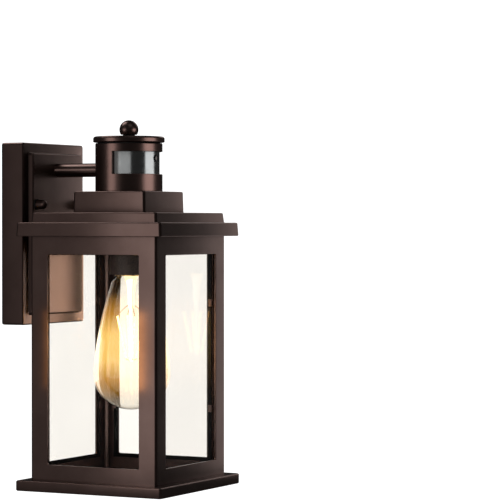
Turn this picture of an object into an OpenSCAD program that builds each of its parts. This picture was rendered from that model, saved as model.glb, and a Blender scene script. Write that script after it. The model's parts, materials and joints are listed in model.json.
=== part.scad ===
// Outdoor wall lantern: a square glazed cage under a stepped roof, with a dusk sensor on top.
//
// The origin is the middle of the mounting strap's back face, on the wall.
// +Z is up, the wall is the plane Y = 0 and the lantern stands out towards -Y.

/* [Wall plate] */
// Width of the backplate
plate_w = 99; // [96:1:120]
// Height of the backplate
plate_h = 155; // [150:1:180]
// Depth of the backplate's rim
plate_d = 21.2; // [20:0.1:26]
// Drop from the mounting centre to the middle of the backplate
plate_drop = 25; // [24:0.5:27]
// Margin round the raised panel
panel_inset = 8.5; // [7:0.5:9]
// Height of the raised panel above the rim
panel_rise = 4.5; // [3:0.1:6]
// Distance between the two cap nuts
nut_spacing = 70; // [66:1:72]

/* [Arm] */
// Height of the arm above the mounting centre
arm_z = 29.5; // [29:0.1:31]
// Radius of the arm tube
arm_r = 5.9; // [5.5:0.1:6]
// Distance from the wall to the lantern's centre line
axis_depth = 96.25; // [94:0.25:110]

/* [Cage] */
// Drop from the mounting centre to the underside of the base
base_drop = 240.6; // [220:0.1:260]
// Half width of the base frame
base_half = 70; // [66:0.1:75]
// Thickness of the base frame
base_h = 8.8; // [7:0.1:12]
// Half width of the cage
cage_half = 60.5; // [58:0.5:61]
// Height of the cage
cage_h = 214.8; // [200:0.1:230]
// Width of each corner post
stile_w = 16.5; // [14:0.5:18]
// Height of the lower rails
lower_rail_h = 13.4; // [10:0.1:16]
// Height of the upper rails, most of it behind the roof's lip
upper_rail_h = 25.2; // [22:0.1:30]
// Thickness of the cage's metal
cage_t = 2; // [1.6:0.1:2.2]
// Thickness of the glass
glass_t = 2; // [1.6:0.1:2.2]

/* [Roof and sensor] */
// Half width of the roof's lip at its lower edge
lip_half = 69.7; // [68:0.1:74]
// Height of the roof's lip
lip_h = 11.6; // [10:0.1:14]
// Height of the roof's middle step
step_h = 8.3; // [8:0.1:12]
// Half width of the roof's cap at its lower edge
cap_half = 34.8; // [32:0.1:40]
// Height of the roof's cap
cap_h = 18; // [16:0.1:22]
// Radius of the sensor housing
sensor_r = 28.6; // [28:0.1:30]
// Height of the sensor housing
sensor_h = 41; // [41:0.1:46]
// Height of the sensor window
window_h = 19; // [16:0.5:20]
// Radius of the sensor lid
lid_r = 30.4; // [30:0.1:33]
// Thickness of the sensor lid
lid_h = 6.2; // [5:0.1:7]
// Radius of the finial's ball
finial_r = 8.1; // [7.6:0.1:9]

/* [Bulb] */
// Largest radius of the bulb
bulb_r = 32; // [28:0.5:36]
// Radius of the bulb's neck
neck_r = 12.6; // [12.4:0.1:12.8]
// Length of the glass below the socket
glass_len = 113.6; // [100:0.1:125]
// Radius of the socket cup
cup_r = 18.3; // [18:0.1:20]
// Distance of the socket and the bulb ahead of the cage's centre line
socket_shift = 2.5; // [0:0.1:3]

/* [Hidden] */
$fn = 64;

// Finish colours
bronze = [0.16, 0.12, 0.11];
zinc = [0.72, 0.72, 0.70];
brass = [0.78, 0.62, 0.32];
black_rubber = [0.05, 0.05, 0.05];
clear_glass = [0.80, 0.86, 0.88, 0.30];

// Gaps: a cut runs past a face by eps, pins run in bores with run, loose faces stand off by gap
eps = 0.5;
run = 0.05;
gap = 0.1;
sheet_t = 1.6;

// Levels of the stack, from the base up
base_z = -base_drop;
cage_z = base_z + base_h;
cage_top = cage_z + cage_h;
shelf_z = cage_top + sheet_t;
lip_z = shelf_z - lip_h;
step_top = shelf_z + step_h;
cap_top = step_top + cap_h;
lid_z = cap_top + sensor_h;
lid_top = lid_z + lid_h;
finial_z = lid_top + 5.4;

// Half widths of the roof's steps; each narrows a little towards its top
lip_taper = 0.6;
step_taper = 0.7;
cap_taper = 0.4;
edge_r = 2.2;
corner_steps = 5;

// Fasteners and straps
strap_t = 1.6;
strap_r = 10;
slot_z = 39.7;
slot_r = 2.3;
slot_len = 16;
stud_strap_r = 8;
stud_strap_y = -strap_t - 0.3 - strap_t;
stud_r = 2;
pivot_r = 2;
gasket_t = 1.2;
panel_y = -plate_d - panel_rise;
panel_half_w = plate_w / 2 - panel_inset;
panel_half_h = plate_h / 2 - panel_inset;
washer_t = 1;
nut_r = 4;
nut_y = panel_y - gap - washer_t - gap;
nut_barrel = 5;
stud_end = nut_y - 5.6;
nipple_r = 5;
nipple_bore = 3.4;
nipple_bottom = cap_top - 36;
nipple_top = cap_top + 8;
tie_at = cage_half - 7;
tie_r = 1.95;
boss_r = 3.8;
lid_stud_r = 2;

// Window of the cage
opening_half = cage_half - stile_w;
pane_z0 = cage_z + lower_rail_h - 3;
pane_z1 = cage_top - upper_rail_h + 3;
pane_half = opening_half + 4;

// Sensor
sensor_t = 1.8;
floor_t = 2;
lens_r = sensor_r - 2.5;
lens_t = 1.5;
window_z = cap_top + 14.7;
photocell_z = window_z + 13.3;
pir_z = window_z + 5.5;
board_y = -axis_depth - 20.2;

// Socket and bulb
cup_bottom = cap_top - 70.6;
cup_top = cap_top - 28.7;
cup_t = 1.2;
shell_r = 13.2;
screw_r = 12.85;
bulb_top = cup_bottom - 1.1;
bulb_tip = bulb_top - glass_len;
shoulder_r = 16.6;
shoulder_z = bulb_top - 5;
widest_z = bulb_tip + 30.3;
glass_wall = 0.8;
wire_sides = 8;
filament_count = 4;
filament_top = bulb_top - 34;
filament_bottom = bulb_top - 71;

// Moves its children to the lantern's centre line
module on_axis() translate([0, -axis_depth, 0]) children();

// Moves its children to the centre line of the nipple, the socket and the bulb
module on_nipple() translate([0, -axis_depth - socket_shift, 0]) children();

// Turns a shape drawn flat in X and Z so that its thickness runs out from the wall
module from_wall() rotate([90, 0, 0]) children();

// A rod along Y between two depths
module rod_y(r, y0, y1, x = 0, z = 0)
    translate([x, max(y0, y1), z]) rotate([90, 0, 0]) cylinder(r = r, h = abs(y1 - y0));

// A rod along Z between two heights
module rod_z(r, z0, z1, x = 0, y = 0) translate([x, y, min(z0, z1)]) cylinder(r = r, h = abs(z1 - z0));

// A hexagon nut with a round bore, standing on Z = 0
module hex_nut(r, h, bore) difference() {
    cylinder(r = r, h = h, $fn = 6);
    translate([0, 0, -eps]) cylinder(r = bore, h = h + 2 * eps);
}

// A rectangle with rounded corners, centred
module round_rect(w, h, r) {
    square([w - 2 * r, h], center = true);
    square([w, h - 2 * r], center = true);
    for (x = [-1, 1], y = [-1, 1]) translate([x * (w / 2 - r), y * (h / 2 - r)]) circle(r = r);
}

// A bar with round ends, centred, along X
module round_bar(len, r) {
    square([len - 2 * r, 2 * r], center = true);
    for (x = [-1, 1]) translate([x * (len / 2 - r), 0]) circle(r = r);
}

// Corner points of a rectangle with rounded corners, at one height
function ring(half_w, half_h, r, z) = [for (q = [0 : 3], k = [0 : corner_steps])
    let (a = 90 * (q + k / corner_steps), x = q == 0 || q == 3 ? 1 : -1, y = q < 2 ? 1 : -1)
        [x * (half_w - r) + r * cos(a), y * (half_h - r) + r * sin(a), z]];
function square_ring(half, r, z) = ring(half, half, r, z);

// Rings that round off an edge of radius soft below the height z
function soft_edge(half_w, half_h, r, z, soft) = [for (a = [0, 30, 60, 90])
    ring(half_w - soft * (1 - cos(a)), half_h - soft * (1 - cos(a)), r, z - soft * (1 - sin(a)))];

// A solid through a list of rings
module skin(rings) {
    n = len(rings[0]);
    last = len(rings) - 1;
    polyhedron([for (points = rings, p = points) p],
        concat([[for (k = [0 : n - 1]) k]], [[for (k = [n - 1 : -1 : 0]) last * n + k]],
            [for (i = [0 : last - 1], k = [0 : n - 1])
                [i * n + k, (i + 1) * n + k, (i + 1) * n + (k + 1) % n, i * n + (k + 1) % n]]));
}

// A wire swept along a smooth curve through a list of points
function unit(v) = v / norm(v);
function curve_point(a, b, c, d, t) =
    0.5 * (2 * b + (c - a) * t + (2 * a - 5 * b + 4 * c - d) * t * t + (3 * b - a - 3 * c + d) * t * t * t);
function smooth_route(p, n) = concat(
    [for (i = [0 : len(p) - 2], k = [0 : n - 1])
        curve_point(p[max(i - 1, 0)], p[i], p[i + 1], p[min(i + 2, len(p) - 1)], k / n)],
    [p[len(p) - 1]]);
function heading(p, i) = unit(p[min(i + 1, len(p) - 1)] - p[max(i - 1, 0)]);
function across(v, t) = unit(v - (v * t) * t);
function sides(p, i = 0, out = []) = i == len(p) ? out :
    sides(p, i + 1, concat(out, [across(i == 0 ? [1, 0.2, 0.1] : out[i - 1], heading(p, i))]));
module wire(points, r) {
    path = smooth_route(points, 4);
    side = sides(path);
    skin([for (i = [0 : len(path) - 1]) [for (a = [0 : 360 / wire_sides : 359])
        path[i] + r * (cos(a) * side[i] + sin(a) * cross(heading(path, i), side[i]))]]);
}

// A round rod between any two points
module rod_between(a, b, r) {
    d = b - a;
    translate(a) rotate([0, acos(d.z / norm(d)), atan2(d.y, d.x)]) cylinder(r = r, h = norm(d), $fn = 24);
}

// Strap that is screwed to the outlet box through its two slots
module box_strap() color(zinc) from_wall() difference() {
    linear_extrude(strap_t) difference() {
        rotate(90) round_bar(2 * (slot_z + strap_r), strap_r);
        for (s = [-1, 1]) translate([0, s * slot_z]) rotate(90) round_bar(slot_len, slot_r);
    }
    translate([0, 0, -eps]) cylinder(r = pivot_r + run, h = strap_t + 2 * eps);
}

// Screw on which the stud strap turns, to level the lantern
module pivot_screw() color(zinc) {
    rod_y(pivot_r, -gap, stud_strap_y - 0.3);
    difference() {
        rod_y(3.8, stud_strap_y - 0.3, stud_strap_y - 2.5);
        translate([-3, stud_strap_y - 2.5 - eps, -0.4]) cube([6, 1.2 + eps, 0.8]);
    }
}

// Strap that carries the two studs
module stud_strap() color(zinc) translate([0, stud_strap_y + strap_t, 0]) from_wall() difference() {
    linear_extrude(strap_t) round_bar(nut_spacing + 2 * stud_strap_r + 2, stud_strap_r);
    for (x = [-1, 1]) translate([x * nut_spacing / 2, 0, -eps])
        cylinder(r = stud_r + run, h = strap_t + 2 * eps);
    for (x = [0, 18]) translate([x, 0, -eps]) cylinder(r = pivot_r + run, h = strap_t + 2 * eps);
}

module mounting_studs() color(zinc)
    for (x = [-1, 1]) rod_y(stud_r, -0.6, stud_end, x * nut_spacing / 2);

module stud_lock_nuts() color(zinc)
    for (x = [-1, 1]) translate([x * nut_spacing / 2, stud_strap_y - gap, 0]) from_wall()
        hex_nut(4.2, 3, stud_r + run);

module ground_screw() color([0.15, 0.45, 0.20]) {
    rod_y(pivot_r, stud_strap_y + strap_t, stud_strap_y, 18);
    translate([18, stud_strap_y, 0]) from_wall() cylinder(r = 4.3, h = 2.6, $fn = 6);
}

// Foam strip under the backplate's rim
module wall_gasket() color(black_rubber) translate([0, 0, -plate_drop]) from_wall()
    linear_extrude(gasket_t) difference() {
        round_rect(plate_w - 0.4, plate_h - 0.4, edge_r);
        square([plate_w - 2 * sheet_t, plate_h - 2 * sheet_t], center = true);
    }

// Pressed cover with a raised panel
module backplate() color(bronze) translate([0, 0, -plate_drop]) from_wall() difference() {
    skin(concat([ring(plate_w / 2, plate_h / 2, edge_r, gasket_t)],
        soft_edge(plate_w / 2, plate_h / 2, edge_r, plate_d, 1.2),
        [plate_step(0, edge_r, plate_d)],
        soft_edge(panel_half_w - 0.4, panel_half_h - 0.4, edge_r, plate_d + panel_rise, 1)));
    skin([ring(plate_w / 2 - sheet_t, plate_h / 2 - sheet_t, 1, -eps),
        ring(plate_w / 2 - sheet_t, plate_h / 2 - sheet_t, 1, plate_d - sheet_t),
        plate_step(sheet_t, 1, plate_d - sheet_t),
        plate_step(sheet_t + 0.4, 1, plate_d + panel_rise - sheet_t)]);
    for (x = [-1, 1]) translate([x * nut_spacing / 2, plate_drop, plate_d - 5])
        cylinder(r = stud_r + 0.35, h = 15);
    translate([0, plate_drop + arm_z, plate_d - 5]) cylinder(r = arm_r + run, h = 15);
}

// Outline of the raised panel, inset for the hollow behind it
function plate_step(inset, r, z) = ring(panel_half_w - inset, panel_half_h - inset, r, z);

// Side is -1 for the left nut and 1 for the right one
module nut_washer(side) color(black_rubber) difference() {
    rod_y(4.6, panel_y - gap, panel_y - gap - washer_t, side * nut_spacing / 2);
    rod_y(stud_r + 0.35, panel_y, panel_y - 3, side * nut_spacing / 2);
}

module nut_washer_left() nut_washer(-1);
module nut_washer_right() nut_washer(1);

// Round cap nut with a domed end
module cap_nut(side) color(bronze) translate([side * nut_spacing / 2, 0, 0]) difference() {
    union() {
        rod_y(nut_r, nut_y, nut_y - nut_barrel);
        translate([0, nut_y - nut_barrel, 0]) sphere(r = nut_r);
    }
    rod_y(stud_r + run, nut_y + eps, stud_end - 0.4);
}

module cap_nut_left() cap_nut(-1);
module cap_nut_right() cap_nut(1);

// Twist-on connectors at the ends of the lantern's own wires
module wire_nuts() for (i = [0 : 2])
    color([[0.85, 0.4, 0.1], [0.85, 0.4, 0.1], [0.1, 0.5, 0.2]][i])
        translate([[-26, 4, 30][i], -13, -62]) difference() {
            cylinder(r1 = 4, r2 = 5.5, h = 16);
            translate([0, 0, 5]) cylinder(r = 3.2, h = 12);
        }

// Tube between the backplate and the sensor housing
module arm_tube() color(bronze) difference() {
    rod_y(arm_r, panel_y + 8, -axis_depth + sensor_r - 9.2, 0, arm_z);
    rod_y(arm_r - 1.2, panel_y + 8 + eps, -axis_depth + sensor_r - 9.2 - eps, 0, arm_z);
}

module arm_nuts() color(zinc) for (y = [panel_y + sheet_t + 4.2, -axis_depth + sensor_r - 3.8])
    translate([0, y, arm_z]) from_wall() hex_nut(9, 4, arm_r + run);

// Drum with a window round its front half
module sensor_housing() color(bronze) on_axis() difference() {
    rod_z(sensor_r, cap_top, lid_z - 0.6);
    rod_z(sensor_r - sensor_t, cap_top + floor_t, lid_z + eps);
    rod_z(nipple_r + run, cap_top - eps, cap_top + floor_t + eps, 0, -socket_shift);
    rotate([0, 0, 180]) rotate_extrude(angle = 180)
        translate([lens_r - 3, window_z]) square([sensor_r, window_h]);
    rod_y(arm_r + run, sensor_r + 2, 15, 0, arm_z);
}

module sensor_lens() color([0.45, 0.46, 0.47, 0.8]) on_axis() difference() {
    rotate([0, 0, 172]) rotate_extrude(angle = 196)
        translate([lens_r - lens_t, window_z - 1.5]) square([lens_t, window_h + 3]);
    rod_y(2, 0, -lens_r - 2, 0, photocell_z);
}

module photocell() color([0.75, 0.35, 0.25])
    rod_y(1.85, board_y - gap, -axis_depth - lens_r - 0.6, 0, photocell_z);

module photocell_bezel() color([0.3, 0.3, 0.3]) difference() {
    rod_y(2.6, -axis_depth - lens_r - gap, -axis_depth - lens_r - 1, 0, photocell_z);
    rod_y(1.9, -axis_depth - lens_r + 1, -axis_depth - lens_r - 2, 0, photocell_z);
}

module sensor_board() color([0.12, 0.40, 0.20])
    translate([-9.5, board_y, cap_top + floor_t + 2.5]) cube([19, 1.6, 34]);

// Grooved rail that the board stands in
module board_holder() color([0.9, 0.9, 0.88]) difference() {
    translate([-9, board_y - 1.4, cap_top + floor_t]) cube([18, 4.4, 6]);
    translate([-9 - eps, board_y - gap, cap_top + floor_t + 2.4]) cube([18 + 2 * eps, 1.8, 5]);
}

module relay() color([0.1, 0.2, 0.5])
    translate([-7.5, board_y + 1.6 + gap, cap_top + floor_t + 8]) cube([15, 8, 12]);

// Metal-can motion sensor, looking out through the lens
module pir_sensor() color(zinc) difference() {
    union() {
        rod_y(4.6, board_y - gap, board_y - 1, 0, pir_z);
        rod_y(4.1, board_y - gap, board_y - 3, 0, pir_z);
    }
    translate([-1.5, board_y - 3 - eps, pir_z - 2]) cube([3, eps + 0.4, 4]);
}

// Strap over the nipple that carries the lid's stud
module lid_bridge() color(zinc) on_axis() {
    for (x = [-1, 1]) {
        translate([x * 13 - 3, -4, cap_top + floor_t]) cube([6, 8, 1.5]);
        translate([x * 11.5 - 1.5, -4, cap_top + floor_t]) cube([3, 8, 14]);
    }
    translate([-13, -4, cap_top + floor_t + 12]) cube([26, 8, 2]);
    rod_z(lid_stud_r, cap_top + floor_t + 12, finial_z + 2);
}

module lid_gasket() color(black_rubber) on_axis() difference() {
    rod_z(sensor_r - 0.3, lid_z - 0.6, lid_z);
    rod_z(sensor_r - sensor_t, lid_z - 1, lid_z + 1);
}

// Turned lid with a rounded rim and a spigot inside the housing
module sensor_lid() color(bronze) on_axis() difference() {
    union() {
        rotate_extrude() difference() {
            union() {
                translate([0, lid_z]) square([lid_r - 2, lid_h]);
                translate([0, lid_z]) square([lid_r, lid_h - 2]);
                translate([lid_r - 2, lid_top - 2]) circle(r = 2);
            }
            translate([-5, lid_z - 5]) square([5, 20]);
        }
        rod_z(sensor_r - sensor_t - 0.3, lid_z - 3, lid_z);
    }
    rod_z(sensor_r - sensor_t - 2.3, lid_z - 3 - eps, lid_z + lid_h - sheet_t);
    rod_z(lid_stud_r + 0.3, lid_z, lid_top + eps);
}

module finial_washer() color(black_rubber) on_axis() difference() {
    rod_z(5.2, lid_top + gap, lid_top + gap + washer_t);
    rod_z(lid_stud_r + 0.35, lid_top, lid_top + 3);
}

// Ball nut that holds the lid down
module finial() color(bronze) on_axis() difference() {
    translate([0, 0, finial_z]) sphere(r = finial_r);
    translate([-10, -10, finial_z - 20]) cube([20, 20, 20 - (finial_z - lid_top - washer_t - 2 * gap)]);
    rod_z(lid_stud_r + run, lid_top, finial_z + 2.6);
}

module roof_cap() color(bronze) on_axis() difference() {
    skin(concat([square_ring(cap_half, edge_r, step_top)],
        soft_edge(cap_half - cap_taper, cap_half - cap_taper, edge_r, cap_top, 1.2)));
    skin([square_ring(cap_half - sheet_t, 1, step_top - eps),
        square_ring(cap_half - cap_taper - sheet_t, 1, cap_top - sheet_t)]);
    rod_z(nipple_r + run, step_top, cap_top + eps, 0, -socket_shift);
}

// Middle step and overhanging lip, with a boss for a tie screw in each corner
module roof_pan() color(bronze) on_axis() {
    difference() {
        skin(concat([square_ring(lip_half - 0.5, edge_r, lip_z), square_ring(lip_half, edge_r, lip_z + 0.8)],
            soft_edge(lip_half - lip_taper, lip_half - lip_taper, edge_r, shelf_z, 1),
            [square_ring(cage_half, edge_r, shelf_z)],
            soft_edge(cage_half - step_taper, cage_half - step_taper, edge_r, step_top, 1)));
        skin([square_ring(lip_half - sheet_t, 1, lip_z - eps),
            square_ring(lip_half - lip_taper - sheet_t, 1, shelf_z - sheet_t),
            square_ring(cage_half - sheet_t, 1, shelf_z - sheet_t),
            square_ring(cage_half - step_taper - sheet_t, 1, step_top - sheet_t)]);
        rod_z(nipple_r + run, lip_z, step_top + eps, 0, -socket_shift);
    }
    for (x = [-1, 1], y = [-1, 1]) difference() {
        rod_z(boss_r, shelf_z - 1, step_top - sheet_t + 0.2, x * tie_at, y * tie_at);
        rod_z(tie_r + run, shelf_z - 2, step_top - sheet_t - 1, x * tie_at, y * tie_at);
    }
}

module threaded_nipple() color(zinc) on_nipple() difference() {
    rod_z(nipple_r, nipple_bottom, nipple_top);
    rod_z(nipple_bore, nipple_bottom - eps, nipple_top + eps);
}

module nipple_nuts() color(zinc) on_nipple()
    for (z = [cap_top + floor_t, step_top - sheet_t - 4, cup_top, cup_top - cup_t - 4])
        translate([0, 0, z]) hex_nut(8, 4, nipple_r + run);

module socket_cup() color(bronze) on_nipple() difference() {
    rod_z(cup_r, cup_bottom, cup_top);
    rod_z(cup_r - cup_t, cup_bottom - eps, cup_top - cup_t);
    rod_z(nipple_r + run, cup_top - 3, cup_top + eps);
}

// Moulded insulator round the screw shell
module socket_body() color([0.12, 0.12, 0.12]) on_nipple() difference() {
    rod_z(16.5, cup_bottom + 2, cup_top - 9);
    rod_z(shell_r + 0.5, cup_bottom + 1, cup_top - 12);
}

module socket_shell() color(brass) on_nipple() difference() {
    rod_z(shell_r + 0.4, cup_bottom - 1, cup_top - 20);
    rod_z(shell_r, cup_bottom - 2, cup_top - 19);
}

module socket_contact() color(brass) on_nipple()
    translate([-5, -2.5, cup_top - 13.4]) cube([10, 5, 1.4]);

// Screw base, with its thread drawn as rings
module bulb_cap() color(brass) on_nipple() difference() {
    union() {
        rod_z(screw_r - 0.6, bulb_top + 1, bulb_top + 24);
        for (i = [0 : 4]) translate([0, 0, bulb_top + 4 + 3.6 * i]) rotate_extrude()
            polygon([[screw_r - 2, 0], [screw_r - 0.6, 0], [screw_r, 0.9],
                     [screw_r, 1.5], [screw_r - 0.6, 2.4], [screw_r - 2, 2.4]]);
    }
    rod_z(screw_r - 1.1, bulb_top, bulb_top + 23.4);
}

module bulb_insulator() color([0.08, 0.08, 0.1]) on_nipple()
    translate([0, 0, bulb_top + 24]) cylinder(r1 = screw_r - 1.5, r2 = 5.5, h = 3.5);

module bulb_contact() color([0.75, 0.75, 0.72]) on_nipple() {
    rod_z(5, bulb_top + 27.5, bulb_top + 28.2);
    rod_z(3.4, bulb_top + 28.2, bulb_top + 28.8);
}

// A list from its end to its start
function reversed(list) = [for (i = [len(list) - 1 : -1 : 0]) list[i]];

// Outline of the glass, inset by d: collar, flare, flank and rounded end
function flank(t, d) = [shoulder_r + (bulb_r - shoulder_r) * (1 - pow(1 - t, 1.6)) - d,
                        shoulder_z + (widest_z - shoulder_z) * t];
function end_cap(a, d) = [(bulb_r - d) * cos(a), widest_z - (widest_z - bulb_tip - d) * sin(a)];
function glass_outline(d) = concat(
    [[neck_r - 1.3 - d, bulb_top + 10], [neck_r - 1.3 - d, bulb_top + 0.8],
     [neck_r - d, bulb_top], [neck_r + 1 - d, bulb_top - 2]],
    [for (i = [0 : 12]) flank(i / 12, d)],
    [for (a = [12 : 12 : 84]) end_cap(a, d)],
    [[0, bulb_tip + d]]);

module bulb_glass() color([0.95, 0.75, 0.45, 0.35]) on_nipple() rotate_extrude()
    polygon(concat(glass_outline(0), reversed(glass_outline(glass_wall))));

// Glass foot that carries the filaments
module bulb_stem() color(clear_glass) on_nipple() rotate_extrude()
    polygon([[0, bulb_top + 6], [7, bulb_top + 6], [6, bulb_top - 2], [3.4, bulb_top - 8],
             [2.8, bulb_top - 24], [2, bulb_top - 28], [1.2, filament_bottom + 2],
             [1.6, filament_bottom - 1], [0, filament_bottom - 2]]);

// Strips lean in towards their lower ends
module filaments() color([1, 0.75, 0.3]) on_nipple()
    for (i = [0 : filament_count - 1]) rotate([0, 0, 45 + i * 360 / filament_count])
        rod_between([12, 0, filament_top], [4.5, 0, filament_bottom + 1], 1.1);

module filament_leads() color(zinc) on_nipple()
    for (i = [0 : filament_count - 1]) rotate([0, 0, 45 + i * 360 / filament_count])
        rod_between([2.9, 0, bulb_top - 24], [12, 0, filament_top + 1.2], 0.35);

// Corner post of angle section; x and y are its corner's side
module post(x, y) color(bronze) on_axis() translate([0, 0, cage_z]) mirror([x < 0 ? 1 : 0, 0, 0])
    mirror([0, y < 0 ? 1 : 0, 0]) linear_extrude(cage_h) difference() {
        union() {
            translate([opening_half, opening_half]) square([stile_w - edge_r, stile_w]);
            translate([opening_half, opening_half]) square([stile_w, stile_w - edge_r]);
            translate([cage_half - edge_r, cage_half - edge_r]) circle(r = edge_r);
        }
        square([cage_half - cage_t, cage_half - cage_t]);
    }

module post_front_left() post(-1, -1);
module post_front_right() post(1, -1);
module post_rear_left() post(-1, 1);
module post_rear_right() post(1, 1);

// Four rails between the posts
module rails(z, h) color(bronze) on_axis() for (a = [0 : 90 : 270]) rotate([0, 0, a])
    translate([-opening_half, cage_half - cage_t, z]) cube([2 * opening_half, cage_t, h]);

module upper_rails() rails(cage_top - upper_rail_h, upper_rail_h);
module lower_rails() rails(cage_z, lower_rail_h);

// Pane inside one side of the cage; angle 0 is the rear
module pane(angle) color(clear_glass) on_axis() rotate([0, 0, angle])
    translate([-pane_half, cage_half - cage_t - glass_t, pane_z0])
        cube([2 * pane_half, glass_t - gap, pane_z1 - pane_z0]);

module glass_rear() pane(0);
module glass_left() pane(90);
module glass_front() pane(180);
module glass_right() pane(270);

// Bent tabs that hold each pane against its posts
module glass_clips() color(bronze) on_axis() for (a = [0 : 90 : 270], z = [0.25, 0.75])
    rotate([0, 0, a]) translate([0, 0, pane_z0 + z * (pane_z1 - pane_z0)]) for (s = [-1, 1])
        mirror([s < 0 ? 1 : 0, 0, 0]) translate([pane_half - 2.5, cage_half - cage_t, -3]) {
            translate([0, -glass_t - 1, 0]) cube([3.3, 0.8, 6]);
            translate([2.5, -glass_t - 1, 0]) cube([0.8, glass_t + 1, 6]);
        }

// Long screws from the base frame up into the roof's bosses
module tie_screws() color(bronze) on_axis() for (x = [-1, 1], y = [-1, 1]) {
    rod_z(tie_r, cage_z - sheet_t - gap, step_top - sheet_t - 1.5, x * tie_at, y * tie_at);
    difference() {
        rod_z(3.6, cage_z - sheet_t - 2.7, cage_z - sheet_t - gap, x * tie_at, y * tie_at);
        translate([x * tie_at - 4, y * tie_at - 0.5, cage_z - sheet_t - 3.2]) cube([8, 1, 1.6]);
    }
}

// Open frame of folded sheet under the cage
module base_frame() color(bronze) on_axis() difference() {
    skin(concat([square_ring(base_half - 0.8, edge_r, base_z), square_ring(base_half, edge_r, base_z + 0.8)],
        soft_edge(base_half, base_half, edge_r, cage_z, 1.2)));
    translate([0, 0, base_z - eps]) linear_extrude(base_h - sheet_t + eps) difference() {
        square(2 * (base_half - sheet_t), center = true);
        square(2 * (opening_half + sheet_t), center = true);
    }
    translate([0, 0, base_z - eps]) linear_extrude(base_h + 2 * eps) square(2 * opening_half, center = true);
    for (x = [-1, 1], y = [-1, 1])
        rod_z(tie_r + 0.2, cage_z - 4, cage_z + eps, x * tie_at, y * tie_at);
}

// Wires, from the connectors behind the backplate through the arm
module wire_live() color([0.1, 0.1, 0.1])
    wire([[-26, -13, -54], [-26, -13, -20], [-14, -13, 12], [-2, -15, 29.2], [-2, -79, 29.2],
          [-6, -88, 34], [-7, -103, 37], [-8, -113.5, 37.5]], 1);

module wire_neutral() color([0.9, 0.9, 0.9])
    wire([[4, -13, -54], [4, -13, -20], [4, -13, 18], [2, -15, 29.2], [2, -79, 29.2],
          [1.5, -89, 23], [1.5, -98, 20], [1.5, -98.75, 14], [1.5, -98.75, -26.5]], 1);

module wire_switched() color([0.7, 0.1, 0.1])
    wire([[8.3, -113.5, 38], [9.5, -107, 34], [5, -104, 24], [-0.5, -100.5, 20.5],
          [-1.5, -98.75, 17], [-1.5, -98.75, -26.5]], 1);

module wire_ground() color([0.1, 0.5, 0.2])
    wire([[30, -13, -54], [30, -13, -20], [24, -10, -4], [18, -7.5, 0]], 1);

box_strap();
pivot_screw();
stud_strap();
mounting_studs();
stud_lock_nuts();
ground_screw();
wall_gasket();
backplate();
nut_washer_left();
nut_washer_right();
cap_nut_left();
cap_nut_right();
wire_nuts();
arm_tube();
arm_nuts();
sensor_housing();
sensor_lens();
photocell();
photocell_bezel();
sensor_board();
board_holder();
relay();
pir_sensor();
lid_bridge();
lid_gasket();
sensor_lid();
finial_washer();
finial();
roof_cap();
roof_pan();
threaded_nipple();
nipple_nuts();
socket_cup();
socket_body();
socket_shell();
socket_contact();
bulb_cap();
bulb_insulator();
bulb_contact();
bulb_glass();
bulb_stem();
filaments();
filament_leads();
post_front_left();
post_front_right();
post_rear_left();
post_rear_right();
upper_rails();
lower_rails();
glass_front();
glass_rear();
glass_left();
glass_right();
glass_clips();
tie_screws();
base_frame();
wire_live();
wire_neutral();
wire_switched();
wire_ground();
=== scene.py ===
"""Looks of the outdoor wall lantern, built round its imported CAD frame. Lengths are in metres."""

import json
import math

import bmesh
import bpy
from mathutils import Matrix, Vector

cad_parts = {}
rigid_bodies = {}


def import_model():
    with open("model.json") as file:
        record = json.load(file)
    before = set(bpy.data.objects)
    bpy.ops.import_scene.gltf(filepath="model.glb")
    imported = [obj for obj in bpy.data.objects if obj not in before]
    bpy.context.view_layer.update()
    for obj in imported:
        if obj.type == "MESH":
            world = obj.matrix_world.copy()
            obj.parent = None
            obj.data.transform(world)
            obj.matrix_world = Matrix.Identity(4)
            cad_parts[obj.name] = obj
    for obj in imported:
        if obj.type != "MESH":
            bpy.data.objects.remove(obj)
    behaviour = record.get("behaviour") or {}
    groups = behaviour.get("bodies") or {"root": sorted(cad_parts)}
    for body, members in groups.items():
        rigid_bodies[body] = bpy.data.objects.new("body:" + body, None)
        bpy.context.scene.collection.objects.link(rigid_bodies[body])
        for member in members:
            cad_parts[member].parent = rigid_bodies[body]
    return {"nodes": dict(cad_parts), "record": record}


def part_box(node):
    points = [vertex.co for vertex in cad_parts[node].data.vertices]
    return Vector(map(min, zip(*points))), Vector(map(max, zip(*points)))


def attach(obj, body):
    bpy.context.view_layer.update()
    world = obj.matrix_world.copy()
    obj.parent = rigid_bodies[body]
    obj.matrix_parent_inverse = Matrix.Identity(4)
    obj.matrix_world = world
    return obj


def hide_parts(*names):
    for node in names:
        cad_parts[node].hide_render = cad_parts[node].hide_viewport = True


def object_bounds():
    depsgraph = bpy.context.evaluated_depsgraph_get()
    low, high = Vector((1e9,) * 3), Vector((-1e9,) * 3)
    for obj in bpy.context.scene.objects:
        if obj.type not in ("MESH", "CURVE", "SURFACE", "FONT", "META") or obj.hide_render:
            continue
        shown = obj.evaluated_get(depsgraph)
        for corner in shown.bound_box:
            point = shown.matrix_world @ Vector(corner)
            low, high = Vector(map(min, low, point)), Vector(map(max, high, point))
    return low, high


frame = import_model()
cad_low, cad_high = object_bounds()

MM = 0.001

# ---------------------------------------------------------------- sizes, worked out from the frame

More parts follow.
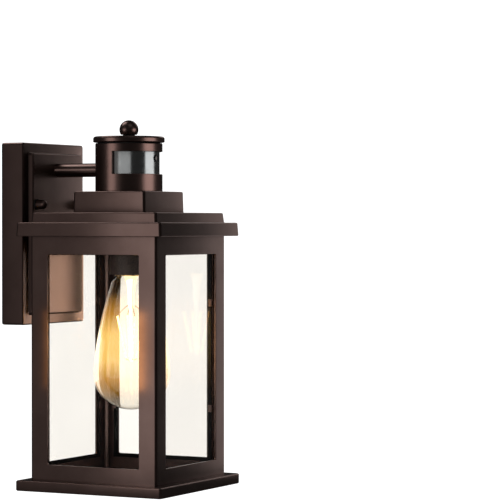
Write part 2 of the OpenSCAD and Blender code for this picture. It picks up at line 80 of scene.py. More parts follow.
PAN_LOW, PAN_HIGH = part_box("roof_pan")
CAP_LOW, CAP_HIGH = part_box("roof_cap")
BASE_LOW, BASE_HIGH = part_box("base_frame")
POST_LOW, POST_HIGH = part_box("post_front_left")
RAIL_LOW, RAIL_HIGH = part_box("upper_rails")
LOWER_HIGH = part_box("lower_rails")[1]
DRUM_LOW, DRUM_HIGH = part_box("sensor_housing")
LENS_LOW, LENS_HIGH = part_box("sensor_lens")
LID_LOW, LID_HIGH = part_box("sensor_lid")
BALL_LOW, BALL_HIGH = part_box("finial")
PLATE_LOW, PLATE_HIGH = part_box("backplate")
ARM_LOW, ARM_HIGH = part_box("arm_tube")
CUP_LOW, CUP_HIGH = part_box("socket_cup")
GLASS_LOW, GLASS_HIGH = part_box("bulb_glass")
CAP_THREAD_LOW, CAP_THREAD_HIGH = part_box("bulb_cap")

AXIS = Vector(((BASE_LOW.x + BASE_HIGH.x) / 2, (BASE_LOW.y + BASE_HIGH.y) / 2, 0))
SOCKET_AXIS = Vector(((CUP_LOW.x + CUP_HIGH.x) / 2, (CUP_LOW.y + CUP_HIGH.y) / 2, 0))
SHEET = 1.6 * MM
CORNER = 2.2 * MM
STILE = 16.5 * MM
LIP_TAPER = 0.6 * MM
STEP_TAPER = 0.7 * MM
CAP_TAPER = 0.4 * MM
LIP_HEIGHT = 11.6 * MM

BULB_R = (GLASS_HIGH.x - GLASS_LOW.x) / 2
BULB_TIP = GLASS_LOW.z
BULB_TOP = CAP_THREAD_LOW.z - MM
NECK_R = 12.6 * MM
SHOULDER_R = 16.6 * MM
SHOULDER_Z = BULB_TOP - 5 * MM
WIDEST_Z = BULB_TIP + 30.3 * MM
FILAMENT_TOP = BULB_TOP - 34 * MM
FILAMENT_LOW = BULB_TOP - 70 * MM
FILAMENT_SPREAD = 12 * MM
FILAMENT_CLOSE = 4.5 * MM
FILAMENT_R = 0.9 * MM


# ---------------------------------------------------------------- mesh helpers


def link(name, mesh):
    piece = bpy.data.objects.new(name, mesh)
    bpy.context.scene.collection.objects.link(piece)
    return piece


def finish_mesh(name, bm):
    """Turns a bmesh into a smooth-shaded object with outward normals."""
    bmesh.ops.remove_doubles(bm, verts=bm.verts, dist=1e-6)
    bmesh.ops.recalc_face_normals(bm, faces=bm.faces)
    mesh = bpy.data.meshes.new(name)
    bm.to_mesh(mesh)
    bm.free()
    mesh.polygons.foreach_set("use_smooth", [True] * len(mesh.polygons))
    return link(name, mesh)


def soften(piece, width=0.0, segments=3, angle=35):
    """Bevels the sharp edges and lets the flat faces keep flat shading."""
    if width:
        bevel = piece.modifiers.new("edges", "BEVEL")
        bevel.width = width
        bevel.segments = segments
        bevel.limit_method = "ANGLE"
        bevel.angle_limit = math.radians(angle)
        bevel.use_clamp_overlap = True
        bevel.miter_outer = "MITER_ARC"
    weights = piece.modifiers.new("flat faces", "WEIGHTED_NORMAL")
    weights.keep_sharp = True
    weights.weight = 90
    return piece


def rounded_outline(half_w, half_h, radius, steps=6):
    """Points round a rectangle with rounded corners, counter-clockwise."""
    points = []
    for quarter, (sx, sy) in enumerate(((1, 1), (-1, 1), (-1, -1), (1, -1))):
        for k in range(steps + 1):
            a = math.radians(90 * (quarter + k / steps))
            points.append((sx * (half_w - radius) + radius * math.cos(a),
                           sy * (half_h - radius) + radius * math.sin(a)))
    return points


def soft_edge(half_w, half_h, radius, z, soft, steps=5):
    """Levels that round an edge over, each a half width, half height, corner radius and z."""
    levels = []
    for k in range(steps + 1):
        a = math.pi / 2 * k / steps
        shrink = soft * (1 - math.cos(a))
        levels.append((half_w - shrink, half_h - shrink, radius, z - soft * (1 - math.sin(a))))
    return levels


def loft(name, levels, place):
    """A closed skin through rounded rectangles. place turns a level's (x, y, z) into the row frame."""
    bm = bmesh.new()
    rings = []
    for half_w, half_h, radius, z in levels:
        rings.append([bm.verts.new(place(x, y, z)) for x, y in rounded_outline(half_w, half_h, radius)])
    for low, high in zip(rings, rings[1:]):
        for k in range(len(low)):
            j = (k + 1) % len(low)
            bm.faces.new((low[k], low[j], high[j], high[k]))
    bm.faces.new(rings[0][::-1])
    bm.faces.new(rings[-1])
    return finish_mesh(name, bm)


def lathe(name, profile, centre, axis="z", steps=96):
    """A turned piece. profile holds (radius, height) points, and heights run along the axis."""
    bm = bmesh.new()
    rings = []
    for radius, height in profile:
        ring = []
        for k in range(steps if radius > 1e-7 else 1):
            a = 2 * math.pi * k / steps
            u, v = radius * math.cos(a), radius * math.sin(a)
            offset = (u, v, height) if axis == "z" else (u, height, v)
            ring.append(bm.verts.new(Vector(offset) + centre))
        rings.append(ring)
    for low, high in zip(rings, rings[1:]):
        for k in range(steps):
            j = (k + 1) % steps
            corners = [low[k % len(low)], low[j % len(low)], high[j % len(high)], high[k % len(high)]]
            unique = list(dict.fromkeys(corners))
            if len(unique) > 2:
                bm.faces.new(unique)
    return finish_mesh(name, bm)


def arc(centre_r, centre_z, radius, start, end, steps=8):
    """Profile points round part of a circle, with angles in degrees from the outward direction."""
    return [(centre_r + radius * math.cos(math.radians(start + (end - start) * k / steps)),
             centre_z + radius * math.sin(math.radians(start + (end - start) * k / steps)))
            for k in range(steps + 1)]


def tube(name, points, radius, steps=12):
    """A round rod along a smooth curve through the points."""
    curve = bpy.data.curves.new(name, "CURVE")
    curve.dimensions = "3D"
    curve.bevel_depth = radius
    curve.bevel_resolution = 3
    curve.resolution_u = steps
    curve.use_fill_caps = True
    spline = curve.splines.new("NURBS")
    spline.points.add(len(points) - 1)
    for target, p in zip(spline.points, points):
        target.co = (*p, 1)
    spline.order_u = 4
    spline.use_endpoint_u = True
    holder = bpy.data.objects.new(name, curve)
    bpy.context.scene.collection.objects.link(holder)
    mesh = bpy.data.meshes.new_from_object(holder.evaluated_get(bpy.context.evaluated_depsgraph_get()))
    bpy.data.objects.remove(holder)
    mesh.polygons.foreach_set("use_smooth", [True] * len(mesh.polygons))
    return link(name, mesh)


def join(name, pieces):
    """Joins mesh objects into one."""
    bm = bmesh.new()
    for piece in pieces:
        bm.from_mesh(piece.data)
        bpy.data.objects.remove(piece)
    mesh = bpy.data.meshes.new(name)
    bm.to_mesh(mesh)
    bm.free()
    return link(name, mesh)


def on_axis(x, y, z):
    """Level coordinates to the row frame, about the lantern's centre line."""
    return (x + AXIS.x, y + AXIS.y, z)


def place(piece, body, material, *nodes):
    """Gives a piece its body and its material, and hides the CAD nodes that it stands for."""
    piece.data.materials.clear()
    piece.data.materials.append(MATERIALS[material])
    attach(piece, body)
    if nodes:
        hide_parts(*nodes)
    return piece


# ---------------------------------------------------------------- materials


class Shader:
    """A node material with short calls for what the finishes below share."""

    def __init__(self, name):
        self.material = bpy.data.materials.new(name)
        self.material.use_nodes = True
        self.nodes = self.material.node_tree.nodes
        self.links = self.material.node_tree.links
        self.nodes.clear()
        self.output = self.nodes.new("ShaderNodeOutputMaterial")
        self.bsdf = self.nodes.new("ShaderNodeBsdfPrincipled")
        self.link(self.bsdf.outputs[0], self.output.inputs["Surface"])
        self.place = self.nodes.new("ShaderNodeTexCoord").outputs["Object"]

    def link(self, source, target):
        self.links.new(source, target)

    def set(self, **values):
        for key, value in values.items():
            self.bsdf.inputs[key.replace("_", " ")].default_value = value
        return self

    def noise(self, scale, detail=3.0, roughness=0.55, stretch=None):
        """Noise over the object, in cycles per metre."""
        node = self.nodes.new("ShaderNodeTexNoise")
        node.inputs["Scale"].default_value = scale
        node.inputs["Detail"].default_value = detail
        node.inputs["Roughness"].default_value = roughness
        source = self.place
        if stretch:
            mapping = self.nodes.new("ShaderNodeMapping")
            mapping.inputs["Scale"].default_value = stretch
            self.link(self.place, mapping.inputs["Vector"])
            source = mapping.outputs[0]
        self.link(source, node.inputs["Vector"])
        return node.outputs["Fac"]

    def ramp(self, source, stops):
        """A colour ramp with (position, colour) stops."""
        node = self.nodes.new("ShaderNodeValToRGB")
        while len(node.color_ramp.elements) < len(stops):
            node.color_ramp.elements.new(0.5)
        for element, (position, colour) in zip(node.color_ramp.elements, stops):
            element.position = position
            element.color = (*colour, 1)
        self.link(source, node.inputs["Fac"])
        return node.outputs["Color"]

    def range(self, source, low, high, source_low=0.35, source_high=0.65):
        """Maps a noise to a range of plain values."""
        node = self.nodes.new("ShaderNodeMapRange")
        node.inputs["From Min"].default_value = source_low
        node.inputs["From Max"].default_value = source_high
        node.inputs["To Min"].default_value = low
        node.inputs["To Max"].default_value = high
        self.link(source, node.inputs["Value"])
        return node.outputs[0]

    def math(self, operation, first, second=None):
        """One sum on a socket and a second socket or number."""
        node = self.nodes.new("ShaderNodeMath")
        node.operation = operation
        self.link(first, node.inputs[0])
        if isinstance(second, (int, float)):
            node.inputs[1].default_value = second
        elif second:
            self.link(second, node.inputs[1])
        return node.outputs[0]

    def mix(self, share, first, second):
        """Blends a colour socket towards a plain colour."""
        node = self.nodes.new("ShaderNodeMix")
        node.data_type = "RGBA"
        self.link(share, node.inputs["Factor"])
        self.link(first, node.inputs[6])
        node.inputs[7].default_value = (*second, 1)
        return node.outputs[2]

    def bump(self, source, distance, strength=1.0):
        node = self.nodes.new("ShaderNodeBump")
        node.inputs["Distance"].default_value = distance
        node.inputs["Strength"].default_value = strength
        self.link(source, node.inputs["Height"])
        self.link(node.outputs[0], self.bsdf.inputs["Normal"])
        return self

    def colour(self, scale, stops, **noise):
        self.link(self.ramp(self.noise(scale, **noise), stops), self.bsdf.inputs["Base Color"])
        return self

    def roughness(self, scale, low, high, **noise):
        self.link(self.range(self.noise(scale, **noise), low, high), self.bsdf.inputs["Roughness"])
        return self

    def let_lamps_through(self):
        """Rays that look for a lamp pass straight through, so glass casts no dark shadow."""
        clear = self.nodes.new("ShaderNodeBsdfTransparent")
        mix = self.nodes.new("ShaderNodeMixShader")
        path = self.nodes.new("ShaderNodeLightPath")
        self.link(path.outputs["Is Shadow Ray"], mix.inputs[0])
        self.link(self.bsdf.outputs[0], mix.inputs[1])
        self.link(clear.outputs[0], mix.inputs[2])
        self.link(mix.outputs[0], self.output.inputs["Surface"])
        return self


def shades(colour, spread=0.15):
    """Two stops round a colour, for a slight variation."""
    darker = tuple(c * (1 - spread) for c in colour)
    lighter = tuple(min(1, c * (1 + spread)) for c in colour)
    return [(0.3, darker), (0.7, lighter)]


def bronze_paint():
    """Satin powder coat: fine orange peel, faint clouding and a coppery sheen."""
    s = Shader("bronze_paint").set(Metallic=0.95, Coat_Weight=0.05, Coat_Roughness=0.3)
    s.colour(38, [(0.35, (0.155, 0.105, 0.094)), (0.65, (0.180, 0.124, 0.112))], detail=4.0)
    s.roughness(30, 0.28, 0.31)
    s.bump(s.noise(900, detail=1.0), 0.00001, 0.2)
    return s.material


def sand_paint():
    """The socket cup's coarser, sand-textured paint."""
    s = Shader("sand_paint").set(Metallic=0.3)
    s.colour(900, [(0.3, (0.020, 0.013, 0.011)), (0.75, (0.075, 0.052, 0.045))])
    s.roughness(300, 0.45, 0.6)
    s.bump(s.noise(2200, detail=2.0), 0.00015, 0.9)
    return s.material


def metal(name, colour, low, high, stretch=None, grain=900):
    """Bare or plated metal, with fine marks that can be stretched one way."""
    s = Shader(name).set(Metallic=1.0)
    s.colour(60, shades(colour, 0.08))
    s.roughness(grain, low, high, stretch=stretch)
    s.bump(s.noise(grain, stretch=stretch), 0.00002, 0.4)
    return s.material


def plastic(name, colour, low, high, grain=1500, depth=0.00003, coat=0.0):
    """Moulded plastic or rubber, with a fine grain."""
    s = Shader(name).set(Coat_Weight=coat)
    s.colour(150, shades(colour, 0.1))
    s.roughness(400, low, high)
    s.bump(s.noise(grain), depth, 0.6)
    return s.material


def glass(name, colour, ior, wave):
    """Clear glass with a slight waviness."""
    s = Shader(name).set(Transmission_Weight=1.0, IOR=ior, Roughness=0.0)
    s.colour(25, shades(colour, 0.01))
    s.bump(s.noise(18, detail=1.0), wave, 0.3)
    s.let_lamps_through()
    return s


def pane_glass():
    """Clear glass, faintly warm, with painted shade where the posts and rails cover it."""
    s = glass("clear_glass", PANE_TINT, 1.45, 0.0001)
    split = s.nodes.new("ShaderNodeSeparateXYZ")
    s.link(s.place, split.inputs[0])
    across = s.math("ABSOLUTE", split.outputs["X"])
    along = s.math("ABSOLUTE", s.math("ADD", split.outputs["Y"], -AXIS.y))
    opening = RAIL_HIGH.x - STILE - 0.3 * MM
    beside = s.math("GREATER_THAN", s.math("MINIMUM", across, along), opening)
    above = s.math("GREATER_THAN", split.outputs["Z"], RAIL_LOW.z - 0.3 * MM)
    below = s.math("LESS_THAN", split.outputs["Z"], LOWER_HIGH.z + 0.3 * MM)
    # Painted shade: dark colour on the glass behind the posts and rails.
    edge = s.math("MAXIMUM", beside, s.math("MAXIMUM", above, below))
    tint = s.ramp(s.noise(25), shades(PANE_TINT, 0.01))
    s.link(s.mix(edge, tint, PAINTED_FRAME_SHADE), s.bsdf.inputs["Base Color"])
    return s.material


def amber_painted_glow():
    """The bulb's glass, with a painted amber glow that is strongest beside the filaments."""
    s = glass("amber_glass", (0.995, 0.975, 0.93), 1.45, 0.0003)
    split = s.nodes.new("ShaderNodeSeparateXYZ")
    s.link(s.place, split.inputs[0])
    # Painted glow: emission on the glass, strongest at the filaments' height, stands in for their light
    # scattered in it.
    middle = (FILAMENT_TOP + FILAMENT_LOW) / 2 - 8 * MM
    away = s.math("ABSOLUTE", s.math("ADD", split.outputs["Z"], -middle))
    near = s.range(away, 1.0, 0.0, 10 * MM, 46 * MM)
    painted_glow = s.ramp(near, [(0.0, (0.0, 0.0, 0.0)), (0.5, (0.13, 0.060, 0.008)), (1.0, (0.27, 0.17, 0.045))])
    s.link(painted_glow, s.bsdf.inputs["Emission Color"])
    s.set(Emission_Strength=1.0)
    return s.material


def stem_painted_glow():
    """The stem, with a painted warm white glow standing in for light scattered in the glass between the
    filaments.
    """
    s = glass("stem_glass", (0.97, 0.96, 0.93), 1.45, 0.0002)
    s.set(Emission_Strength=1.0)
    # Painted glow: emission on the stem glass, which is no lamp.
    painted_glow = s.ramp(s.noise(300), [(0.3, (0.75, 0.60, 0.34)), (0.7, (0.95, 0.80, 0.52))])
    s.link(painted_glow, s.bsdf.inputs["Emission Color"])
    return s.material


def lens_plastic():
    """Smoked, polished lens of the motion sensor."""
    s = Shader("smoked_lens").set(Metallic=0.95, Coat_Weight=0.2, Coat_Roughness=0.08)
    s.colour(60, shades((0.36, 0.37, 0.37), 0.05))
    s.roughness(200, 0.16, 0.22)
    s.bump(s.noise(500), 0.00001, 0.3)
    return s.material


def filament_glow():
    """Phosphor-coated strip, lit: white-hot in the middle and warmer along its skin."""
    s = Shader("glowing_filament").set(Roughness=0.6, Emission_Strength=FILAMENT_POWER)
    colour = s.ramp(s.noise(700), [(0.3, (1.0, 0.50, 0.16)), (0.7, (1.0, 0.62, 0.26))])
    s.link(colour, s.bsdf.inputs["Base Color"])
    s.link(colour, s.bsdf.inputs["Emission Color"])
    return s.material


def circuit_board():
    """Solder resist with copper tracks showing through."""
    s = Shader("circuit_board").set(Coat_Weight=0.3)
    brick = s.nodes.new("ShaderNodeTexBrick")
    brick.inputs["Scale"].default_value = 300
    brick.inputs["Mortar Size"].default_value = 0.03
    brick.inputs["Color1"].default_value = (0.015, 0.11, 0.04, 1)
    brick.inputs["Color2"].default_value = (0.02, 0.14, 0.05, 1)
    brick.inputs["Mortar"].default_value = (0.10, 0.28, 0.10, 1)
    s.link(s.place, brick.inputs["Vector"])
    s.link(brick.outputs["Color"], s.bsdf.inputs["Base Color"])
    s.roughness(500, 0.3, 0.4)
    return s.material


FILAMENT_POWER = 5.0
PANE_TINT = (0.968, 0.950, 0.918)
# Colour of the painted shade on the glass behind the posts and rails
PAINTED_FRAME_SHADE = (0.02, 0.014, 0.012)

MATERIALS = {
    "bronze_paint": bronze_paint(),
    "sand_paint": sand_paint(),
    "zinc_steel": metal("zinc_steel", (0.62, 0.62, 0.60), 0.28, 0.42, stretch=(1, 1, 0.15)),
    "green_screw": metal("green_screw", (0.05, 0.26, 0.09), 0.3, 0.45),
    "black_rubber": plastic("black_rubber", (0.018, 0.018, 0.018), 0.65, 0.8, depth=0.00008),
    "connector_plastic": plastic("connector_plastic", (0.72, 0.24, 0.04), 0.3, 0.4),
    "smoked_lens": lens_plastic(),
    "photocell_face": plastic("photocell_face", (0.45, 0.40, 0.36), 0.15, 0.25, coat=0.6),
    "dark_plastic": plastic("dark_plastic", (0.02, 0.02, 0.022), 0.4, 0.55),
    "circuit_board": circuit_board(),
    "white_plastic": plastic("white_plastic", (0.75, 0.75, 0.72), 0.4, 0.5),
    "relay_plastic": plastic("relay_plastic", (0.03, 0.09, 0.35), 0.25, 0.35),
    "sensor_can": metal("sensor_can", (0.70, 0.70, 0.67), 0.15, 0.25),
    "brass_shell": metal("brass_shell", (0.78, 0.56, 0.26), 0.18, 0.3),
    "black_glass": plastic("black_glass", (0.012, 0.012, 0.016), 0.08, 0.15, coat=0.5),
    "amber_glass": amber_painted_glow(),
    "stem_glass": stem_painted_glow(),
    "glowing_filament": filament_glow(),
    "nickel_wire": metal("nickel_wire", (0.65, 0.60, 0.54), 0.25, 0.35),
    "clear_glass": pane_glass(),
    "black_wire": plastic("black_wire", (0.015, 0.015, 0.015), 0.3, 0.4),
    "white_wire": plastic("white_wire", (0.75, 0.75, 0.72), 0.3, 0.4),
    "red_wire": plastic("red_wire", (0.50, 0.02, 0.02), 0.3, 0.4),
    "green_wire": plastic("green_wire", (0.03, 0.26, 0.07), 0.3, 0.4),
}


# ---------------------------------------------------------------- roof, base and backplate


def roof_pan():
    """Middle step and overhanging lip, one pressed sheet with an open underside."""
    lip = PAN_HIGH.x
    low = PAN_LOW.z
    top = PAN_HIGH.z
    shelf = low + LIP_HEIGHT
    step = RAIL_HIGH.x
    levels = [(step - STEP_TAPER - SHEET, step - STEP_TAPER - SHEET, MM, top - SHEET),
              (step - SHEET, step - SHEET, MM, shelf - SHEET),
              (lip - LIP_TAPER - SHEET, lip - LIP_TAPER - SHEET, MM, shelf - SHEET),
              (lip - SHEET, lip - SHEET, MM, low + 0.3 * MM),
              (lip - SHEET + 0.3 * MM, lip - SHEET + 0.3 * MM, MM, low),
              (lip - 0.6 * MM, lip - 0.6 * MM, CORNER, low),
              (lip - 0.2 * MM, lip - 0.2 * MM, CORNER, low + 0.2 * MM),
              (lip, lip, CORNER, low + 0.7 * MM)]
    levels += soft_edge(lip - LIP_TAPER, lip - LIP_TAPER, CORNER, shelf, 1.2 * MM)
    levels += [(step + 0.4 * MM, step + 0.4 * MM, CORNER, shelf), (step, step, CORNER, shelf + 0.4 * MM)]
    levels += soft_edge(step - STEP_TAPER, step - STEP_TAPER, CORNER, top, 1.2 * MM)
    return soften(loft("roof_pan_shell", levels, on_axis))


def roof_cap():
    half = CAP_HIGH.x
    low, top = CAP_LOW.z, CAP_HIGH.z
    inner = half - SHEET
    levels = [(inner - CAP_TAPER, inner - CAP_TAPER, MM, top - SHEET),
              (inner, inner, MM, low), (half, half, CORNER, low)]
    levels += soft_edge(half - CAP_TAPER, half - CAP_TAPER, CORNER, top, 1.2 * MM)
    return soften(loft("roof_cap_shell", levels, on_axis))


def backplate():
    """Pressed cover with a raised panel; levels run out from the wall."""
    half_w = PLATE_HIGH.x
    half_h = (PLATE_HIGH.z - PLATE_LOW.z) / 2
    middle = (PLATE_HIGH.z + PLATE_LOW.z) / 2
    back, front = -PLATE_HIGH.y, -PLATE_LOW.y
    rise = 4.5 * MM
    rim = front - rise
    inset = 8.5 * MM
    panel_w, panel_h = half_w - inset, half_h - inset
    levels = [(panel_w - 2 * MM, panel_h - 2 * MM, MM, front - SHEET),
              (panel_w - SHEET, panel_h - SHEET, MM, rim - SHEET),
              (half_w - SHEET, half_h - SHEET, MM, rim - SHEET), (half_w - SHEET, half_h - SHEET, MM, back),
              (half_w, half_h, CORNER, back)]
    levels += soft_edge(half_w, half_h, CORNER, rim, 1.3 * MM)
    levels += [(panel_w + 0.5 * MM, panel_h + 0.5 * MM, CORNER, rim),
               (panel_w, panel_h, CORNER, rim + 0.5 * MM)]
    levels += soft_edge(panel_w - 0.4 * MM, panel_h - 0.4 * MM, CORNER, front, 1.1 * MM)
    return soften(loft("backplate_shell", levels, lambda x, y, z: (x, -z, -y + middle)))


def base_frame():
    """Folded sheet frame: outer skirt, flat top and inner skirt round the open middle."""
    half = BASE_HIGH.x
    low, top = BASE_LOW.z, BASE_HIGH.z
    hole = RAIL_HIGH.x - STILE
    levels = [(hole, hole, MM, top), (hole, hole, MM, low), (hole + SHEET, hole + SHEET, MM, low),
              (hole + SHEET, hole + SHEET, MM, top - SHEET), (half - SHEET, half - SHEET, MM, top - SHEET),
              (half - SHEET, half - SHEET, MM, low), (half - 0.6 * MM, half - 0.6 * MM, CORNER, low),
              (half, half, CORNER, low + 0.8 * MM)]
    levels += soft_edge(half, half, CORNER, top, 1.3 * MM)
    piece = loft("base_frame_sheet", levels, on_axis)
    bm = bmesh.new()
    bm.from_mesh(piece.data)
    caps = [f for f in bm.faces if len(f.verts) > 4]
    outer = max(caps, key=lambda f: f.calc_area())
    inner = min(caps, key=lambda f: f.calc_area())
    edges = list(outer.edges) + list(inner.edges)
    bmesh.ops.delete(bm, geom=caps, context="FACES_ONLY")
    bmesh.ops.bridge_loops(bm, edges=edges)
    bmesh.ops.recalc_face_normals(bm, faces=bm.faces)
    bm.to_mesh(piece.data)
    bm.free()
    piece.data.polygons.foreach_set("use_smooth", [True] * len(piece.data.polygons))
    return soften(piece)


place(roof_pan(), "lantern", "bronze_paint", "roof_pan")
place(roof_cap(), "lantern", "bronze_paint", "roof_cap")
place(backplate(), "lantern", "bronze_paint", "backplate")
place(base_frame(), "lantern", "bronze_paint", "base_frame")


# ---------------------------------------------------------------- cage


def cage_frame():
    """Four posts and eight rails, welded and dressed into one skin with a window in each side."""
    half = RAIL_HIGH.x
    wall = 2 * MM
    low, top = POST_LOW.z, POST_HIGH.z
    opening = half - STILE
    sill, head = LOWER_HIGH.z, RAIL_LOW.z
    window_r = 1.6 * MM
    bm = bmesh.new()

    def window(side_half, z0, z1, radius, steps=5):
        """Corner points of a window, counter-clockwise from the lower right."""
        corners = ((1, z0 + radius, -90), (1, z1 - radius, 0), (-1, z1 - radius, 90), (-1, z0 + radius, 180))
        points = []
        for sx, cz, start in corners:
            for k in range(steps + 1):
                a = math.radians(start + 90 * k / steps)
                points.append((sx * (side_half - radius) + radius * math.cos(a), cz + radius * math.sin(a)))
        return points

    for quarter in range(4):
        turn = Matrix.Rotation(math.radians(90 * quarter), 4, "Z")

        def spot(x, depth, z):
            return turn @ Vector((x, -half + depth, 0)) + Vector((AXIS.x, AXIS.y, z))

        flat = half - CORNER
        inside = half - wall
        loop = window(opening, sill, head, window_r)
        for depth, edge, flip in ((0.0, flat, False), (wall, inside, True)):
            rim = [bm.verts.new(spot(x, depth, z)) for x, z in loop]
            frame_points = [(edge, low), (edge, top), (-edge, top), (-edge, low)]
            outer = [bm.verts.new(spot(x, depth, z)) for x, z in frame_points]
            n = len(rim) // 4
            for c in range(4):
                corner_verts = rim[c * n:(c + 1) * n]
                fan = [outer[c]] + corner_verts[::-1]
                bm.faces.new(fan if flip else fan[::-1])
                nxt = rim[((c + 1) * n) % len(rim)]
                quad = [outer[c], outer[(c + 1) % 4], nxt, corner_verts[-1]]
                bm.faces.new(quad[::-1] if flip else quad)
            if depth == 0.0:
                front_rim, front_outer = rim, outer
            else:
                back_rim = rim
        for k in range(len(front_rim)):
            j = (k + 1) % len(front_rim)
            bm.faces.new((front_rim[k], front_rim[j], back_rim[j], back_rim[k]))
        steps = 6
        previous = (front_outer[0], front_outer[1])
        for k in range(1, steps + 1):
            a = math.radians(-90 + 90 * k / steps)
            x = flat + CORNER * math.cos(a)
            depth = CORNER + CORNER * math.sin(a)
            pair = (bm.verts.new(spot(x, depth, low)), bm.verts.new(spot(x, depth, top)))
            bm.faces.new((previous[0], pair[0], pair[1], previous[1]))
            previous = pair
    piece = finish_mesh("cage_frame_skin", bm)
    return soften(piece, 0.35 * MM, 2, 50)


place(cage_frame(), "lantern", "bronze_paint", "post_front_left", "post_front_right", "post_rear_left",
      "post_rear_right", "upper_rails", "lower_rails")


# ---------------------------------------------------------------- arm, cap nuts, sensor and finial


def arm_tube():
    radius = (ARM_HIGH.x - ARM_LOW.x) / 2
    inner = radius - 1.2 * MM
    length = ARM_HIGH.y - ARM_LOW.y
    centre = Vector((0, ARM_LOW.y, (ARM_LOW.z + ARM_HIGH.z) / 2))
    profile = [(inner, 0), (radius, 0), (radius, length), (inner, length), (inner, 0)]
    return soften(lathe("arm_pipe", profile, centre, "y", 64))


def cap_nut(side):
    low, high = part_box("cap_nut_" + side)
    radius = (high.x - low.x) / 2
    length = high.y - low.y
    bore = 2.1 * MM
    centre = Vector(((low.x + high.x) / 2, high.y, (low.z + high.z) / 2))
    profile = [(0, -length * 0.72), (bore, -length * 0.72), (bore, 0)]
    profile += [(r, -z) for r, z in arc(radius - 0.3 * MM, 0.3 * MM, 0.3 * MM, -90, 0, 4)]
    dome = length - radius
    profile += [(r, -z) for r, z in arc(0, dome, radius, 0, 90, 12)]
    return soften(lathe("cap_nut_dome_" + side, profile, centre, "y", 48))


def sensor_drum():
    """Drum with its window cut through the front half of the wall."""
    radius = (DRUM_HIGH.x - DRUM_LOW.x) / 2
    inner = radius - 1.8 * MM
    low, top = DRUM_LOW.z, DRUM_HIGH.z
    sill, head = LENS_LOW.z + 1.5 * MM, LENS_HIGH.z - 1.5 * MM
    steps = 128
    heights = [low, low + 2 * MM, sill, head, top]
    bm = bmesh.new()
    grid = {}
    for k in range(steps):
        a = 2 * math.pi * k / steps
        for r, name in ((radius, "out"), (inner, "in")):
            for i, z in enumerate(heights):
                grid[name, k, i] = bm.verts.new((AXIS.x + r * math.cos(a), AXIS.y + r * math.sin(a), z))

    def quad(*keys):
        bm.faces.new([grid[key] for key in keys])

    window_band = 2
    for k in range(steps):
        j = (k + 1) % steps
        front = steps // 2 <= k < steps
        for i in range(len(heights) - 1):
            open_here = front and i == window_band
            if not open_here:
                quad(("out", k, i), ("out", j, i), ("out", j, i + 1), ("out", k, i + 1))
                if i:
                    quad(("in", k, i), ("in", k, i + 1), ("in", j, i + 1), ("in", j, i))
        quad(("out", k, 4), ("out", j, 4), ("in", j, 4), ("in", k, 4))
        if front:
            for i in (2, 3):
                quad(("out", k, i), ("out", j, i), ("in", j, i), ("in", k, i))
    for k in (0, steps // 2):
        quad(("out", k, 2), ("out", k, 3), ("in", k, 3), ("in", k, 2))
    bm.faces.new([grid["out", k, 0] for k in range(steps)][::-1])
    bm.faces.new([grid["in", k, 1] for k in range(steps)])
    for k in range(steps):
        bm.verts.remove(grid["in", k, 0])
    return soften(finish_mesh("sensor_drum", bm), 0.35 * MM, 3, 50)


def sensor_lens():
    """Curved band behind the drum's window."""
    radius = (LENS_HIGH.x - LENS_LOW.x) / 2
    inner = radius - 1.5 * MM
    low, top = LENS_LOW.z, LENS_HIGH.z
    start, sweep, steps = 172, 196, 96
    bm = bmesh.new()
    rows = []
    for k in range(steps + 1):
        a = math.radians(start + sweep * k / steps)
        row = []
        for r, z in ((radius, low), (radius, top), (inner, top), (inner, low)):
            row.append(bm.verts.new((AXIS.x + r * math.cos(a), AXIS.y + r * math.sin(a), z)))
        rows.append(row)
    for a, b in zip(rows, rows[1:]):
        for i in range(4):
            j = (i + 1) % 4
            bm.faces.new((a[i], b[i], b[j], a[j]))
    bm.faces.new(rows[0])
    bm.faces.new(rows[-1][::-1])
    return soften(finish_mesh("sensor_lens_band", bm))


def sensor_lid():
    """Turned lid: rounded rim, slightly crowned top and a spigot below."""
    radius = (LID_HIGH.x - LID_LOW.x) / 2
    top = LID_HIGH.z
    under = top - 5.4 * MM
    spigot = 26.3 * MM
    lip = 2 * MM
    profile = [(2.3 * MM, under + 2 * MM), (spigot - 2 * MM, under + 2 * MM), (spigot - 2 * MM, LID_LOW.z),
               (spigot, LID_LOW.z), (spigot, under)]
    profile += arc(radius - 0.6 * MM, under + 0.6 * MM, 0.6 * MM, -90, 0, 4)
    profile += arc(radius - lip, top - lip - 0.5 * MM, lip, 0, 90, 10)
    crown = 0.5 * MM
    for k in range(1, 9):
        t = k / 8
        r = (radius - lip) * (1 - t) + 2.3 * MM * t
        profile.append((r, top - crown + crown * (1 - (1 - t) ** 2)))
    profile.append(profile[0])
    return soften(lathe("sensor_lid_turned", profile, AXIS, "z", 128))


def finial():
    radius = (BALL_HIGH.x - BALL_LOW.x) / 2
    middle = BALL_HIGH.z - radius
    flat = BALL_LOW.z
    start = math.degrees(math.asin((flat - middle) / radius))
    bore = 2.05 * MM
    profile = [(0, middle + 2.5 * MM), (bore, middle + 2.5 * MM), (bore, flat)]
    profile += arc(0, middle, radius, start, 90, 32)
    return soften(lathe("finial_ball", profile, AXIS, "z", 64))


def photocell_ring():
    low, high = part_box("photocell_bezel")
    outer = (high.x - low.x) / 2
    inner = 1.75 * MM
    centre = Vector(((low.x + high.x) / 2, high.y, (low.z + high.z) / 2))
    depth = high.y - low.y
    profile = [(inner, 0), (outer, 0)]
    profile += [(r, -z) for r, z in arc(outer - 0.3 * MM, depth - 0.3 * MM, 0.3 * MM, 0, 90, 4)]
    profile += [(inner, -depth + 0.15 * MM), (inner, 0)]
    return lathe("photocell_ring", profile, centre, "y", 40)


